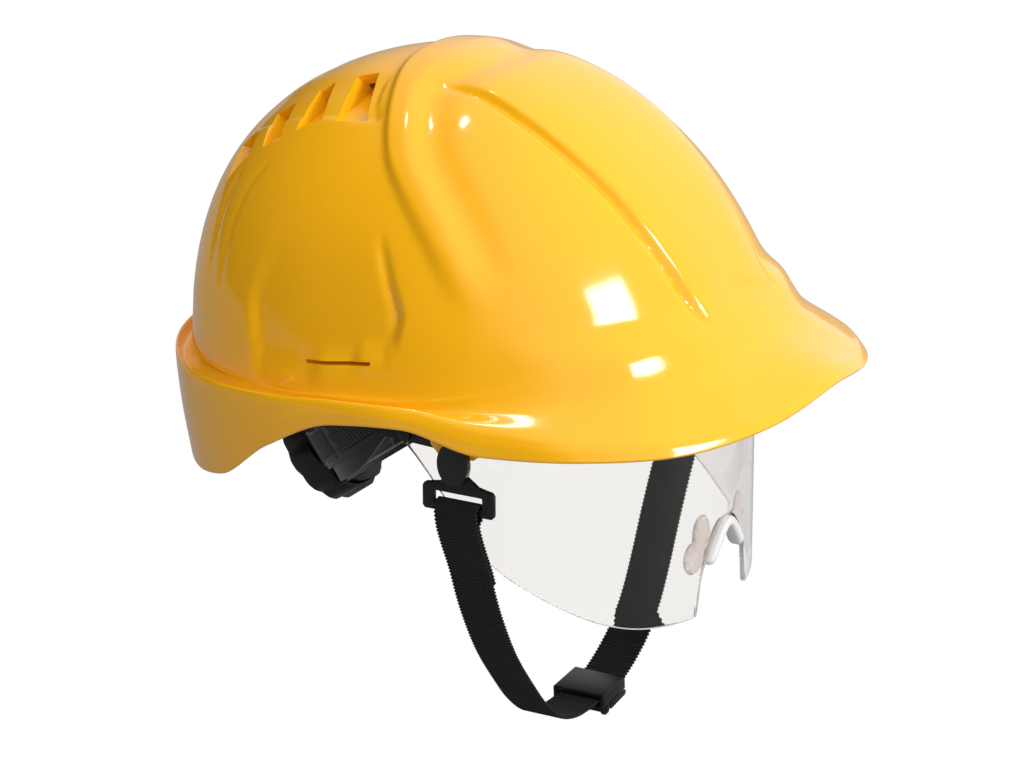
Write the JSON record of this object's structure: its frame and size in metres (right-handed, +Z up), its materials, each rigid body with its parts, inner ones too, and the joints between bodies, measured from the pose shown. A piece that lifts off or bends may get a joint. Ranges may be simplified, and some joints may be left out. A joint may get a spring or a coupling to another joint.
{
  "type": "hard hat",
  "caption": "Hard hat with a vented shell, a textile cradle, a knob-tightened headband, a clear visor that swings up under the peak, and a webbing chin strap with a lever buckle.",
  "frame": {"origin": "middle of the flat underside of the crown pad, where the hat rests on a head, on the vertical axis through the crown of the shell", "axes": "+Z up, -Y towards the front of the hat (the peak), +X towards the wearer's left"},
  "size_m": [0.2294, 0.277, 0.2689],
  "materials": {
    "shell_abs": "glossy yellow ABS",
    "clear_polycarbonate": "clear polycarbonate",
    "white_tpe": "soft white trim",
    "soft_clear_tpe": "soft translucent pads",
    "black_plastic": "satin black nylon",
    "black_gloss_plastic": "polished black nylon",
    "grey_plastic": "dark grey acetal",
    "black_webbing": "ribbed black webbing",
    "cradle_tape": "woven cradle tape",
    "foam_cloth": "cloth over foam",
    "steel": "zinc-plated steel"
  },
  "bodies": {
    "hat": {"shell": "shell_abs", "headband": "black_plastic", "sweatband": "foam_cloth", "nape_yoke": "black_plastic", "nape_pad": "foam_cloth", "crown_tape_cross": "cradle_tape", "crown_tape_diagonal_1": "cradle_tape", "crown_tape_diagonal_2": "cradle_tape", "crown_pad": "foam_cloth", "key_side_R": "black_plastic", "key_side_L": "black_plastic", "key_rear_R": "black_plastic", "key_rear_L": "black_plastic", "temple_pin_L": "black_plastic", "temple_pin_R": "black_plastic", "ratchet_housing": "black_plastic", "housing_rivet_L": "black_plastic", "housing_rivet_R": "black_plastic", "detent_ring": "black_plastic", "visor_bracket_L": "black_plastic", "visor_bracket_R": "black_plastic", "visor_pin_L": "steel", "visor_pin_R": "steel", "bracket_screw_L": "steel", "bracket_screw_R": "steel"},
    "visor": {"visor_lens": "clear_polycarbonate", "visor_arm_L": "black_plastic", "visor_arm_R": "black_plastic", "lens_rivet_L1": "black_plastic", "lens_rivet_L2": "black_plastic", "lens_rivet_R1": "black_plastic", "lens_rivet_R2": "black_plastic", "nose_trim": "white_tpe", "nose_pad_L": "soft_clear_tpe", "nose_pad_R": "soft_clear_tpe"},
    "knob": {"ratchet_knob": "black_plastic", "knob_cap": "grey_plastic", "ratchet_pinion": "grey_plastic", "pawl_disc": "grey_plastic"},
    "tail_right": {"nape_tail_R": "grey_plastic"},
    "tail_left": {"nape_tail_L": "grey_plastic"},
    "chin_strap": {"chin_clip_L": "black_gloss_plastic", "chin_clip_R": "black_gloss_plastic", "slot_bar_L": "black_plastic", "slot_bar_R": "black_plastic", "chin_web_L": "black_webbing", "chin_web_R": "black_webbing", "buckle_body": "black_plastic", "buckle_pin": "steel"},
    "buckle_lever": {"buckle_lever": "black_plastic"}
  },
  "joints": [
    {"name": "visor_swing", "type": "hinge", "parent": "hat", "child": "visor", "pos_m": [0, 0.024, -0.0885], "axis": [-1, 0, 0], "range_deg": [0, 34]},
    {"name": "knob_turn", "type": "hinge", "parent": "hat", "child": "knob", "pos_m": [0, -0.00593, -0.08241], "axis": [0, 0.809, -0.5878], "range_deg": [-85, 108]},
    {"name": "tail_right_slide", "type": "hinge", "parent": "hat", "child": "tail_right", "pos_m": [0, -0.00593, -0.08241], "axis": [0, 0.5878, 0.809], "range_deg": [-7.7, 6.1]},
    {"name": "tail_left_slide", "type": "hinge", "parent": "hat", "child": "tail_left", "pos_m": [0, -0.00593, -0.08241], "axis": [0, 0.5878, 0.809], "range_deg": [-6, 7.5]},
    {"name": "chin_strap_swing", "type": "hinge", "parent": "hat", "child": "chin_strap", "pos_m": [0, -0.049, -0.0845], "axis": [1, 0, 0], "range_deg": [-6, 16]},
    {"name": "buckle_open", "type": "hinge", "parent": "chin_strap", "child": "buckle_lever", "pos_m": [-0.0013, -0.049, -0.22823], "axis": [0, 1, 0], "range_deg": [0, 75]}
  ],
  "couplings": [
    {"joint": "tail_right_slide", "follows": "knob_turn", "ratio": -0.070137},
    {"joint": "tail_left_slide", "follows": "knob_turn", "ratio": 0.068681}
  ]
}
